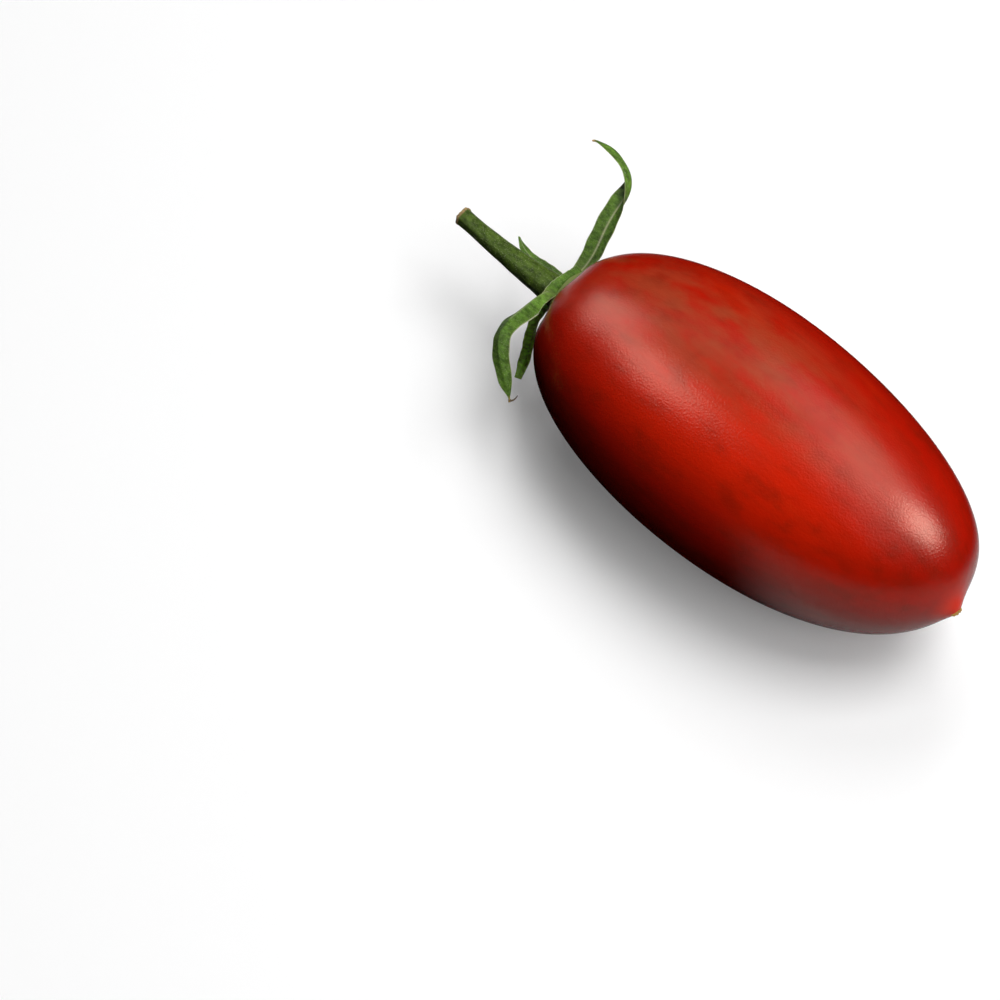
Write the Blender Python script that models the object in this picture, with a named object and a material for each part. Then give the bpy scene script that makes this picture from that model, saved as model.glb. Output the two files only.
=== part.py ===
"""A plum tomato lying on its side, with its stem and calyx, in metres.

The fruit's long axis runs along X, with the stem toward -X and the blossom end toward +X.
The origin is the middle of the small flat spot that the fruit rests on, and Z is up.
Angles round the fruit's axis are measured from +Z toward -Y.
"""

import bpy
import bmesh
import numpy as np

# The fruit: its widest ring is at x = 0.
RADIUS = 0.0234
STEM_HALF = 0.0424
BLOSSOM_HALF = 0.0485
STEM_FULLNESS = 0.755
BLOSSOM_FULLNESS = 0.88
LOBES = 3
LOBE_DEPTH = 0.006
REST_DEPTH = 0.00025

# The blossom end: it leans to one side, and its nipple sits back toward the axis.
BLOSSOM_LEAN = 0.0017
NIPPLE_HEIGHT = 0.0016
NIPPLE_WIDTH = 0.0032
NIPPLE_SHIFT = 0.0024
NIPPLE_DRAW = 0.0055

# The stem end: it leans the other way, and a shallow hollow with soft puckers round its rim takes the stem.
STEM_LEAN = 0.0006
STEM_SHIFT = 0.0002
HOLLOW_DEPTH = 0.0023
HOLLOW_WIDTH = 0.0085
PUCKERS = 7
PUCKER_DEPTH = 0.00018
PUCKER_RING = 0.009
PUCKER_WIDTH = 0.004

# The stem: its foot is a disc just clear of the fruit.
FIT_GAP = 0.0004
STEM_LENGTH = 0.0262
STEM_END_RADIUS = 0.00165
STEM_BASE_RADIUS = 0.00325
STEM_FLARE = 1.7
STEM_LIP = 0.00012
STEM_SAG = 0.0005

# The collar round the foot: its rim follows the fruit's shoulder and is widest on the side WEB_ANGLE.
COLLAR_WIDTH = 0.0022
RIM_THICKNESS = 0.0007
COLLAR_HEIGHT = 0.00105
WEB_SHARE = 0.3
WEB_ANGLE = -0.1

# The sepals: keeled blades whose roots are sunk in the foot of the stem.
ROOT_SHARE = 0.55
BLADE_MIDDLE = 0.0008
BLADE_EDGE = 0.0006

# Where the sepals press on the shoulder, each lies this much higher than the one before it.
STACK_STEP = 0.00006

# Each sepal: its width, the slope of its V and the half width of its tip, then points of its middle line in
# millimetres from the middle of the collar's top, and at each point its roll in degrees from facing FRONT.
FRONT = (0.34, -0.35, 0.87)
MM = 0.001
SEPALS = [
    dict(width=0.0045, keel=0.45, tip=0.0003,
         route=[(-1.2, 1.9, 1.0), (-0.7, 6.1, 3.1), (-1.2, 10.2, 6.0), (-2.2, 15.3, 9.3),
                (-2.9, 18.6, 11.3), (-7.3, 22.0, 13.4), (-13.5, 21.3, 13.9)],
         rolls=[-57, -50, -45, -47, -71, -123, -99]),
    dict(width=0.0044, keel=0.50, tip=0.0003,
         route=[(-1.4, -1.3, 1.8), (-0.5, -5.4, 4.6), (-0.9, -13.1, 5.9),
                (0.5, -17.5, 6.7), (4.8, -21.6, 4.8), (8.5, -23.9, 1.3)],
         rolls=[215, 247, 233, 223, 196, 91]),
    dict(width=0.0010, keel=0.40, tip=0.0006,
         route=[(-1.6, -1.6, -1.7), (-2.9, -4.7, -5.1), (-2.9, -6.1, -8.8),
                (-2.8, -6.8, -11.5), (-1.5, -11.0, -16.8)],
         rolls=[143, 133, 138, 147, 200]),
    dict(width=0.0014, keel=0.40, tip=0.0002,
         route=[(-2.0, 1.5, -1.6), (-7.7, 4.0, -3.6), (-13.5, 4.6, -4.9), (-17.5, 6.2, -4.7)],
         rolls=[0, 2, 14, 40]),
    dict(width=0.0034, keel=0.35, tip=0.0003,
         route=[(-1.6, 0.8, -2.2), (-2.4, 2.2, -6.5), (-2.4, 3.4, -11.0), (-0.6, 5.0, -16.0)],
         rolls=[-60, -60, -70, -90]),
]

FRUIT_RINGS = 56
FRUIT_SIDES = 48
STEM_RINGS = 18
STEM_SIDES = 16
SEPAL_STEPS = 20


def clear_scene():
    """Removes what the startup scene holds."""
    for thing in list(bpy.data.objects):
        bpy.data.objects.remove(thing)


def make_material(name, colour, roughness):
    """A Principled material with one colour and one roughness."""
    material = bpy.data.materials.new(name)
    material.use_nodes = True
    shader = material.node_tree.nodes["Principled BSDF"]
    shader.inputs["Base Color"].default_value = (*colour, 1.0)
    shader.inputs["Roughness"].default_value = roughness
    shader.inputs["Metallic"].default_value = 0.0
    return material


def fruit_rings(rings, sides):
    """Rings of points from the stem pole to the blossom pole, about the axis y = z = 0.

    Each half is a stretched dome: x follows the cosine of the latitude and the radius a power of
    its sine. The rings crowd toward both poles. Each half's middle line leans a little, and the
    rings round the blossom pole are drawn back to the nipple.
    """
    share = np.linspace(0.0, 1.0, rings + 1)[:, None]
    latitude = np.pi * share - 0.25 * np.sin(2.0 * np.pi * share)
    angle = np.arange(sides)[None, :] * 2.0 * np.pi / sides
    cosine = np.clip(np.cos(latitude), -1.0, 1.0)
    sine = np.clip(np.sin(latitude), 0.0, 1.0)
    stem_side = cosine > 0.0
    half = np.where(stem_side, STEM_HALF, BLOSSOM_HALF)
    fullness = np.where(stem_side, STEM_FULLNESS, BLOSSOM_FULLNESS)
    x = -half * cosine
    lobes = 1.0 - LOBE_DEPTH * sine * (1.0 + np.cos(LOBES * angle))
    radius = RADIUS * sine**fullness * lobes
    y = -radius * np.sin(angle)
    z = radius * np.cos(angle)
    nipple = NIPPLE_HEIGHT / (1.0 + (radius / NIPPLE_WIDTH) ** 2) ** 1.5
    draw = np.where(stem_side, 0.0, NIPPLE_SHIFT * np.exp(-((radius / NIPPLE_DRAW) ** 2)))
    from_stem = np.hypot(y - STEM_LEAN - STEM_SHIFT, z)
    hollow = HOLLOW_DEPTH * np.exp(-((from_stem / HOLLOW_WIDTH) ** 2))
    ripple = np.cos(PUCKERS * angle) * np.exp(-(((radius - PUCKER_RING) / PUCKER_WIDTH) ** 2))
    x = x + np.where(stem_side, hollow + PUCKER_DEPTH * ripple, nipple)
    blossom_lean = BLOSSOM_LEAN * np.clip(x / BLOSSOM_HALF, 0.0, None) ** 3
    stem_lean = STEM_LEAN * np.clip(-x / STEM_HALF, 0.0, None) ** 3
    return np.stack([x, y + blossom_lean - draw - stem_lean, z], axis=-1)


def rings_to_mesh(name, rings, pole_start, pole_end):
    """A closed mesh from rings of points, each end gathered to one point."""
    count, sides = rings.shape[:2]
    points = [pole_start, *rings.reshape(-1, 3), pole_end]
    last = len(points) - 1
    faces = []
    for side in range(sides):
        after = (side + 1) % sides
        faces.append((0, 1 + side, 1 + after))
        for ring in range(count - 1):
            low = 1 + ring * sides
            high = low + sides
            faces.append((low + side, high + side, high + after, low + after))
        base = 1 + (count - 1) * sides
        faces.append((base + side, last, base + after))
    mesh = bpy.data.meshes.new(name)
    mesh.from_pydata([tuple(point) for point in points], [], faces)
    tidy = bmesh.new()
    tidy.from_mesh(mesh)
    bmesh.ops.recalc_face_normals(tidy, faces=tidy.faces)
    tidy.to_mesh(mesh)
    tidy.free()
    thing = bpy.data.objects.new(name, mesh)
    bpy.context.scene.collection.objects.link(thing)
    return thing


def cut_at_floor(thing):
    """Cuts the mesh at z = 0 and closes it with one flat face."""
    shape = bmesh.new()
    shape.from_mesh(thing.data)
    everything = shape.verts[:] + shape.edges[:] + shape.faces[:]
    bmesh.ops.bisect_plane(
        shape, geom=everything, plane_co=(0, 0, 0), plane_no=(0, 0, 1), clear_inner=True
    )
    rim = [edge for edge in shape.edges if edge.is_boundary]
    bmesh.ops.contextual_create(shape, geom=rim)
    bmesh.ops.recalc_face_normals(shape, faces=shape.faces)
    shape.to_mesh(thing.data)
    shape.free()


def shade(thing, material, sharp_above):
    """Gives the object its material and shades it smooth, with edges above this angle kept sharp."""
    thing.data.materials.clear()
    thing.data.materials.append(material)
    thing.data.shade_smooth()
    thing.data.set_sharp_from_angle(angle=np.radians(sharp_above))


def axis_height():
    """The height of the fruit's axis, so that its lowest ring dips under the floor by REST_DEPTH."""
    rings = fruit_rings(FRUIT_RINGS, FRUIT_SIDES)
    return -rings[:, :, 2].min() - REST_DEPTH


def build_fruit():
    """The fruit: one solid with a hollow at the stem end, a nipple, and a small flat rest spot."""
    rings = fruit_rings(FRUIT_RINGS, FRUIT_SIDES)
    rings = rings + np.array([0.0, 0.0, axis_height()])
    stem_pole = rings[0].mean(axis=0)
    blossom_pole = rings[-1].mean(axis=0)
    fruit = rings_to_mesh("fruit", rings[1:-1], stem_pole, blossom_pole)
    cut_at_floor(fruit)
    shade(fruit, make_material("skin", (0.33, 0.028, 0.012), 0.32), 40)
    return fruit


def shoulder_x(y, z):
    """The x of the fruit's shoulder at this place beside its axis; the hollow counts as filled."""
    rings = fruit_rings(FRUIT_RINGS, FRUIT_SIDES)[: FRUIT_RINGS // 2]
    distance = np.hypot(rings[:, :, 1] + STEM_LEAN, rings[:, :, 2]).mean(axis=1)
    nearest = rings[:, :, 0].min(axis=1)
    brim = nearest.argmin()
    nearest[:brim] = nearest[brim]
    return np.interp(np.hypot(y + STEM_LEAN, z), distance, nearest)


def build_stem(foot, height):
    """The stem: rings round a slightly sagging line, widening at the foot to a collar on the shoulder."""
    above = np.linspace(0.0, 1.0, STEM_RINGS - 1) ** 1.6 * (STEM_LENGTH + COLLAR_HEIGHT - RIM_THICKNESS)
    above = np.concatenate([[0.0], above + RIM_THICKNESS])[:, None]
    share = above / (STEM_LENGTH + COLLAR_HEIGHT)
    angle = np.arange(STEM_SIDES)[None, :] * 2.0 * np.pi / STEM_SIDES
    radius = STEM_END_RADIUS + (STEM_BASE_RADIUS - STEM_END_RADIUS) * (1.0 - share) ** STEM_FLARE
    radius = radius + STEM_LIP * np.exp(-(1.0 - share) / 0.05)
    collar = COLLAR_WIDTH * (1.0 + WEB_SHARE * np.cos(angle - WEB_ANGLE))
    radius = radius + collar * np.exp(-np.clip(above - RIM_THICKNESS, 0.0, None) / (0.5 * COLLAR_HEIGHT))
    middle_y = STEM_SHIFT - STEM_SAG * 4.0 * share * (1.0 - share)
    y = middle_y - radius * np.sin(angle)
    z = radius * np.cos(angle)
    hug = np.clip(1.0 - above / (2.0 * COLLAR_HEIGHT), 0.0, 1.0)
    x = foot - above + hug * (shoulder_x(y, z) - FIT_GAP - foot)
    rings = np.stack([x, y, z + height], axis=-1)
    return rings_to_mesh("stem_calyx", rings, rings[0].mean(axis=0), rings[-1].mean(axis=0))


def smooth_through(values, stations, share):
    """The polynomial in share that passes through each value at its station."""
    powers = len(values)
    factors = np.linalg.solve(np.vander(stations, powers), np.array(values, float))
    return np.vander(share, powers) @ factors


def sepal_frames(sepal, foot, height):
    """Points along a sepal's middle line, with the directions along it and across its blade."""
    share = np.linspace(0.0, 1.0, SEPAL_STEPS)
    route = np.array([foot - COLLAR_HEIGHT, STEM_SHIFT, height]) + MM * np.array(sepal["route"])
    reach = np.cumsum(np.linalg.norm(np.diff(route, axis=0), axis=1))
    stations = np.concatenate([[0.0], reach / reach[-1]])
    line = smooth_through(route, stations, share)
    along = np.gradient(line, share, axis=0)
    along = along / np.linalg.norm(along, axis=1, keepdims=True)
    facing = np.array(FRONT) - along * (along @ np.array(FRONT))[:, None]
    facing = facing / np.linalg.norm(facing, axis=1, keepdims=True)
    roll = np.radians(smooth_through(sepal["rolls"], stations, share))[:, None]
    across = np.cos(roll) * np.cross(facing, along) + np.sin(roll) * facing
    return share, line, along, across


def blade_half_width(sepal, share):
    """Half the blade's width: it swells from the root, then tapers to the tip."""
    rise = np.clip(share / 0.3, 0.0, 1.0)
    swell = ROOT_SHARE + (1.0 - ROOT_SHARE) * rise**2 * (3.0 - 2.0 * rise)
    return 0.5 * sepal["width"] * swell * (1.0 - share**2.2) + sepal["tip"]


def build_sepal(number, sepal, foot, height):
    """One sepal: a keeled blade swept along its middle line and kept clear of the fruit's shoulder."""
    share, line, along, across = sepal_frames(sepal, foot, height)
    width = blade_half_width(sepal, share)
    face = np.cross(along, across)
    upper = np.array([-1.0, -0.5, 0.0, 0.5, 1.0])
    thickness = BLADE_MIDDLE - (BLADE_MIDDLE - BLADE_EDGE) * np.abs(upper)
    loop_across = np.concatenate([upper, upper[::-1]])
    loop_side = np.concatenate([0.5 * thickness, -0.5 * thickness[::-1]])
    keel = sepal["keel"] * (np.abs(loop_across) - 0.5)
    sideways = (width[:, None] * loop_across)[:, :, None] * across[:, None, :]
    flattening = 1.0 - 0.7 * share[:, None]
    folded = (width[:, None] * flattening * keel)[:, :, None] * face[:, None, :]
    middle = line[:, None, :] + sideways + folded
    clearance = FIT_GAP + 0.5 * BLADE_MIDDLE + number * STACK_STEP
    limit = shoulder_x(middle[:, :, 1], middle[:, :, 2] - height) - clearance
    middle[:, :, 0] = np.minimum(middle[:, :, 0], limit)
    rings = middle + loop_side[None, :, None] * face[:, None, :]
    return rings_to_mesh(f"sepal_{number}", rings, rings[0].mean(axis=0), rings[-1].mean(axis=0))


def build_calyx():
    """The stem with its sepals, joined into one solid."""
    height = axis_height()
    foot = shoulder_x(STEM_SHIFT, 0.0) - FIT_GAP
    calyx = build_stem(foot, height)
    repeats = bpy.data.collections.new("sepals")
    for number, sepal in enumerate(SEPALS, start=1):
        blade = build_sepal(number, sepal, foot, height)
        bpy.context.scene.collection.objects.unlink(blade)
        repeats.objects.link(blade)
    union = calyx.modifiers.new("sepals", "BOOLEAN")
    union.operation = "UNION"
    union.operand_type = "COLLECTION"
    union.collection = repeats
    union.solver = "MANIFOLD"
    bpy.context.view_layer.update()
    graph = bpy.context.evaluated_depsgraph_get()
    joined = bpy.data.meshes.new_from_object(calyx.evaluated_get(graph))
    calyx.modifiers.clear()
    calyx.data = joined
    for blade in list(repeats.objects):
        bpy.data.objects.remove(blade)
    bpy.data.collections.remove(repeats)
    shade(calyx, make_material("stem_green", (0.09, 0.16, 0.045), 0.55), 50)
    return calyx


def main():
    clear_scene()
    build_fruit()
    build_calyx()


main()
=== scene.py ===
"""The looks of a plum tomato with its stem and calyx, laid out as an add-on and run as a script.

Metres throughout. The fruit's long axis runs along X, the stem points toward -X, and the fruit
rests on the floor at z = 0. Angles round the fruit's axis are measured from +Z toward -Y.
"""

import bpy
import numpy as np
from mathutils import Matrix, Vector


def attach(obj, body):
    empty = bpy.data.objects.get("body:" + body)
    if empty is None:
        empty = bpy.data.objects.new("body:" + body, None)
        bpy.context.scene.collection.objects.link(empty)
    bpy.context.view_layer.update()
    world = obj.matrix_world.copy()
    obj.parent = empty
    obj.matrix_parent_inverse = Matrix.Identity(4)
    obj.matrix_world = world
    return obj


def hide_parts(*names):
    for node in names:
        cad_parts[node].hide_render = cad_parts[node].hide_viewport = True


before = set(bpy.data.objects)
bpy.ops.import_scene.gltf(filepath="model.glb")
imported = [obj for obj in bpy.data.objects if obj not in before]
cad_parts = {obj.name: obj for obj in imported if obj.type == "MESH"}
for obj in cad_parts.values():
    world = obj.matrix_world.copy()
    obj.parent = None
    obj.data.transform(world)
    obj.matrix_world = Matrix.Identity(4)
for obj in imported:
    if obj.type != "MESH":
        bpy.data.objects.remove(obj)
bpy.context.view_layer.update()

bl_info = {
    "name": "Plum tomato looks",
    "version": (1, 0, 0),
    "blender": (4, 5, 0),
    "location": "View3D > Sidebar > Tomato",
    "description": "Dresses the plum tomato: skin, blossom scar, stem, sepals and hairs",
    "category": "Object",
}

BODY = "root"
FRUIT_NODE = "fruit"
CALYX_NODE = "stem_calyx"

# The fruit's form, the same as in the solid.
STEM_FULLNESS = 0.755
BLOSSOM_FULLNESS = 0.88
LOBES = 3
LOBE_DEPTH = 0.006
REST_DEPTH = 0.00025
BLOSSOM_LEAN = 0.0017
NIPPLE_HEIGHT = 0.0016
NIPPLE_WIDTH = 0.0032
NIPPLE_SHIFT = 0.0024
NIPPLE_DRAW = 0.0055
STEM_LEAN = 0.0006
STEM_SHIFT = 0.0002
HOLLOW_DEPTH = 0.0023
HOLLOW_WIDTH = 0.0085
PUCKERS = 7
PUCKER_DEPTH = 0.00018
PUCKER_RING = 0.009
PUCKER_WIDTH = 0.004
FRUIT_RINGS = 260
FRUIT_SIDES = 352

# The stem's form, the same as in the solid: its collar's rim follows the fruit's shoulder. The middle of its
# foot reaches into the fruit's hollow by STEM_INSIDE.
FIT_GAP = 0.0004
STEM_END_RADIUS = 0.00165
STEM_FLARE = 1.7
STEM_LIP = 0.00012
STEM_SAG = 0.0005
COLLAR_WIDTH = 0.0022
RIM_THICKNESS = 0.0007
COLLAR_HEIGHT = 0.00105
WEB_SHARE = 0.3
WEB_ANGLE = -0.1
STEM_INSIDE = 0.0012
STEM_RINGS = 190
STEM_SIDES = 120

# The sepals' form, the same as in the solid but with thinner, softer blades.
ROOT_SHARE = 0.55
BLADE_MIDDLE = 0.0008
BLADE_EDGE = 0.00030
BLADE_EXTRA = 0.00032
STACK_STEP = 0.00006
SEPAL_STEPS = 150
SEPAL_SIDES = 48

# Each blade: its width, the slope of its V and the half width of its tip, how sharply it ends and how dry it
# is there, how much deeper its V is at one place, how far its pale vein runs down its back, how much its
# green is lifted paler as painted light where it lies in shade, and how strong its vein. Then points of its
# middle line in millimetres from the middle of the collar's top, and at each point its roll in degrees from
# facing FRONT. The web is a thin piece of leaf between two of the roots, and it isn't in the solid.
FRONT = (0.34, -0.35, 0.87)
MM = 0.001
NO_FOLD = (0.0, 0.5)
SEPALS = {
    "sepal_long": dict(
        width=0.0045, keel=0.45, tip=0.0003, point=0.85, dry=1.0,
        fold=(1.3, 0.62), crease=0.0, light=0.05, vein=1.0,
        route=[(-1.2, 1.9, 1.0), (-0.7, 6.1, 3.1), (-1.2, 10.2, 6.0), (-2.2, 15.3, 9.3),
               (-2.9, 18.6, 11.3), (-7.3, 22.0, 13.4), (-13.5, 21.3, 13.9)],
        rolls=[-57, -50, -45, -47, -71, -123, -99]),
    "sepal_front": dict(
        width=0.0044, keel=0.50, tip=0.0003, point=0.80, dry=1.0,
        fold=(0.9, 0.20), crease=0.45, light=0.0, vein=0.35,
        route=[(-1.4, -1.3, 1.8), (-0.5, -5.4, 4.6), (-0.9, -13.1, 5.9),
               (0.5, -17.5, 6.7), (4.8, -21.6, 4.8), (8.5, -23.9, 1.3)],
        rolls=[215, 247, 233, 223, 196, 91]),
    # The lower sepal lies in shade: its light of 1.0 paints its green several times paler, as painted light.
    "sepal_lower": dict(
        width=0.0010, keel=0.40, tip=0.0006, point=0.25, dry=0.0,
        fold=NO_FOLD, crease=0.0, light=1.0, vein=0.3,
        route=[(-1.6, -1.6, -1.7), (-2.9, -4.7, -5.1), (-2.9, -6.1, -8.8),
               (-2.8, -6.8, -11.5), (-1.5, -11.0, -16.8)],
        rolls=[143, 133, 138, 147, 200]),
    "sepal_small": dict(
        width=0.0014, keel=0.40, tip=0.0002, point=0.30, dry=0.0,
        fold=NO_FOLD, crease=0.0, light=0.03, vein=0.4,
        route=[(-2.0, 1.5, -1.6), (-7.7, 4.0, -3.6), (-13.5, 4.6, -4.9), (-17.5, 6.2, -4.7)],
        rolls=[0, 2, 14, 40]),
    "sepal_web": dict(
        width=0.0006, keel=0.15, tip=0.0007, point=0.0, dry=0.0,
        fold=NO_FOLD, crease=0.0, light=0.04, vein=0.0,
        route=[(-0.4, -4.6, 4.6), (-0.7, -1.5, 4.6), (-0.7, 1.6, 4.0), (-0.9, 4.6, 3.2)],
        rolls=[0, 0, 0, 0]),
    "sepal_far": dict(
        width=0.0034, keel=0.35, tip=0.0003, point=0.80, dry=0.5,
        fold=NO_FOLD, crease=0.0, light=0.0, vein=0.5,
        route=[(-1.6, 0.8, -2.2), (-2.4, 2.2, -6.5), (-2.4, 3.4, -11.0), (-0.6, 5.0, -16.0)],
        rolls=[-60, -60, -70, -90]),
}

# The scar at the blossom end, the hook that goes on from the front sepal's tip, and the hairs.
SCAR_LENGTH = 0.0024
SCAR_WIDTH = 0.0009
SCAR_RISE = 0.00030
SCAR_SUNK = 0.0004
SCAR_RAISED = -0.0001
SCAR_ASIDE = -0.0004
SCAR_GOLD = (0.52, 0.27, 0.035)
HOOK_BEND = (0.75, 0.25, -0.15)
HOOK_END = (0.60, 1.50, 0.45)
HOOK_OVERLAP = 0.0004
HOOK_RADIUS = 0.00022
HOOK_TAPER = 0.00014
HOOK_BROWN = (0.17, 0.10, 0.04)
HAIR_RADIUS = 0.000014
HAIR_SUNK = 0.0001
HAIR_LENGTHS = (0.00015, 0.0005)
HAIR_LEAN = 0.45
HAIR_SEED = 7

# The skin's soft oval patches, and its noise: how far it is drawn out along the fruit, its fineness, and the
# levels between which it fades in. Then how strongly each colours the skin.
RIDGE_SPOT = {"Middle": (-0.008, 0.002, 0.044), "Reach": (0.050, 0.017, 0.030)}
# Partly the skin's lighter patch and partly painted light: a brighter red where the upper flank is lit.
BRIGHT_AND_PAINTED_LIGHT_SPOT = {"Middle": (0.006, -0.012, 0.040), "Reach": (0.050, 0.015, 0.020)}
NIPPLE_SPOT = {"Middle": (0.0505, -0.0012, 0.0236), "Reach": (0.0065, 0.0065, 0.0065)}
BROWN_NOISE = (0.30, 70.0, 0.50, 0.80)
MOTTLE_NOISE = (0.50, 210.0, 0.25, 0.70)
ORANGE_NOISE = (0.45, 95.0, 0.50, 0.85)
STREAK_NOISE = (0.06, 800.0, 0.35, 0.75)
BLOT_NOISE = (0.60, 240.0, 0.46, 0.82)
BROWN_SHARE = 0.70
ORANGE_SHARE = 0.50
STREAK_SHARE = 0.14
BLOT_SHARE = 0.42
PEEL_HEIGHT = 0.00004

# The greens: the paler one of the roots and the collar, partly their own colour and partly painted light that
# lifts their shade, their noise, how dark and how light they get, the same where a blade's green is lifted as
# painted light, and how strongly the speckle, the paler green, the vein and the edge show.
WEB_GREEN_AND_PAINTED_LIGHT = (0.22, 0.27, 0.085)
GREEN_NOISE = (0.50, 1300.0, 0.25, 0.75)
GREEN_RANGE = (0.48, 1.40)
PAINTED_LIGHT_RANGE = (2.8, 6.4)
# Partly painted light: how much paler a blade's fold is, its own pale line and a lift of the fold's shade.
FOLD_PALE_AND_PAINTED_LIGHT = 0.16
SPECKLE_SHARE = 0.24
ROOT_GREEN_SHARE = 0.6
COLLAR_GREEN_SHARE = 0.8
VEIN_SHARE = 1.0
EDGE_SHARE = 0.9
GRAIN_HEIGHT = 0.00016

# Dry tissue and hairs: their noise and their other colours.
DRY_NOISE = (1.0, 2500.0, 0.35, 0.65)
DRY_RANGE = (0.5, 1.0)
DEEP_BROWN = (0.030, 0.012, 0.005)
DRY_GRAIN_HEIGHT = 0.00008
HAIR_NOISE = (1.0, 600.0, 0.3, 0.7)
HAIR_PALE = (0.62, 0.66, 0.45)

# The soft lights: azimuth from the camera's, elevation, width, and the shares of the power that fall on matt
# and on glossy surfaces.
LIGHTS = {
    "top_light": (90, 74, 0.5, 0.68, 0.0),
    "front_light": (36, 54, 0.5, 0.34, 0.0),
    "key_light": (90, 54, 0.4, 0.04, 0.50),
    "low_key_light": (76, 38, 0.4, 0.0, 0.56),
    "arc_light": (135, 54, 0.5, 0.0, 0.14),
    "back_light": (180, 54, 0.5, 0.33, 0.0),
    "left_light": (262, 50, 0.4, 0.0, 0.25),
    "low_left_light": (228, 34, 0.5, 0.0, 0.29),
}

# Where the floor shows pale in the skin's gloss, a painted reflection; elsewhere it shows black there, a
# painted shade. Each band's axis and the two places between which it fades in.
GLEAM_BEYOND = ("X", 0.012, 0.036)
GLEAM_BESIDE = ("Y", -0.006, 0.010)
GLEAM_WITHIN = ("Y", 0.050, 0.026)
BLACK = (0.0, 0.0, 0.0)

# The camera stands where the photograph's did.
CAMERA_AZIMUTH = 43.6
CAMERA_ELEVATION = 60.7
CAMERA_DISTANCE = 0.5114
CAMERA_AIM = (-0.0306, -0.0293, 0.0)
CAMERA_LENS = 100.0


class FruitSettings(bpy.types.PropertyGroup):
    """The size of the fruit and the colours of its skin."""

    radius: bpy.props.FloatProperty(
        name="Radius", description="Half the fruit's width", default=0.0234, unit="LENGTH")
    stem_half: bpy.props.FloatProperty(
        name="Stem half", description="Length from the widest ring to the stem end",
        default=0.0424, unit="LENGTH")
    blossom_half: bpy.props.FloatProperty(
        name="Blossom half", description="Length from the widest ring to the blossom end",
        default=0.0485, unit="LENGTH")
    red: bpy.props.FloatVectorProperty(
        name="Red", description="The skin's main colour", default=(0.42, 0.0060, 0.0004), subtype="COLOR")
    # Partly painted light: this brighter red also lifts the lit upper flank.
    bright: bpy.props.FloatVectorProperty(
        name="Bright red", description="The brighter red along the flank", default=(0.62, 0.014, 0.001),
        subtype="COLOR")
    brown: bpy.props.FloatVectorProperty(
        name="Brown", description="The skin's darker, browner patches",
        default=(0.15, 0.010, 0.0025), subtype="COLOR")
    olive: bpy.props.FloatVectorProperty(
        name="Olive", description="The olive brown along the top, toward the stem",
        default=(0.34, 0.044, 0.015), subtype="COLOR")
    tip: bpy.props.FloatVectorProperty(
        name="Tip", description="The bright red of the nipple", default=(0.80, 0.020, 0.002),
        subtype="COLOR")
    orange: bpy.props.FloatVectorProperty(
        name="Orange", description="The skin's lighter patches", default=(0.52, 0.025, 0.003),
        subtype="COLOR")


class CalyxSettings(bpy.types.PropertyGroup):
    """The sizes and colours of the stem and its sepals."""

    stem_length: bpy.props.FloatProperty(
        name="Stem length", description="From the disc to the cut end", default=0.0262, unit="LENGTH")
    base_radius: bpy.props.FloatProperty(
        name="Base radius", description="Radius of the stem above its collar",
        default=0.00325, unit="LENGTH")
    green: bpy.props.FloatVectorProperty(
        name="Green", description="The stem's main green", default=(0.062, 0.104, 0.013), subtype="COLOR")
    leaf: bpy.props.FloatVectorProperty(
        name="Leaf green", description="The sepals' main green", default=(0.080, 0.156, 0.021),
        subtype="COLOR")
    pale: bpy.props.FloatVectorProperty(
        name="Pale green", description="Veins, edges and speckles", default=(0.50, 0.53, 0.29),
        subtype="COLOR")
    dry: bpy.props.FloatVectorProperty(
        name="Dry tissue", description="The cut end and the sepals' tips", default=(0.38, 0.25, 0.09),
        subtype="COLOR")
    hairs: bpy.props.IntProperty(
        name="Hairs", description="Number of fine hairs on the stem and sepals", default=1500, min=0)


class StageSettings(bpy.types.PropertyGroup):
    """The floor and the power of the lights."""

    floor_size: bpy.props.FloatProperty(
        name="Floor size", description="Width of the floor", default=3.0, unit="LENGTH")
    floor_tone: bpy.props.FloatProperty(
        name="Floor tone", description="How pale the floor looks", default=0.80, min=0.0, max=1.0)
    # Painted light: a glow that only the camera sees lifts the floor's shadows.
    floor_lift: bpy.props.FloatProperty(
        name="Floor lift", description="How pale the floor's shadows look", default=0.15, min=0.0, max=1.0)
    # Painted shade: the floor throws back far less light than it shows, darkening the fruit's low flank.
    floor_bounce: bpy.props.FloatProperty(
        name="Floor bounce", description="How much light the floor throws back up",
        default=0.045, min=0.0, max=1.0)
    # Painted reflection: pale bands of floor in the skin's gloss, black elsewhere as painted shade.
    floor_gleam: bpy.props.FloatProperty(
        name="Floor gleam", description="How pale the floor's bands are in the skin's gloss",
        default=0.56, min=0.0, max=1.0)
    power: bpy.props.FloatProperty(
        name="Power", description="Power of one light with a share of one", default=10.0, unit="POWER")


def unit(vectors):
    """The vectors at length one."""
    return vectors / np.linalg.norm(vectors, axis=-1, keepdims=True)


def smooth_step(values):
    """Rises softly from 0 to 1 as the value does."""
    held = np.clip(values, 0.0, 1.0)
    return held * held * (3.0 - 2.0 * held)


def axis_height(fruit):
    """The height of the fruit's axis: its widest ring dips under the floor by REST_DEPTH."""
    return fruit.radius - REST_DEPTH


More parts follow.
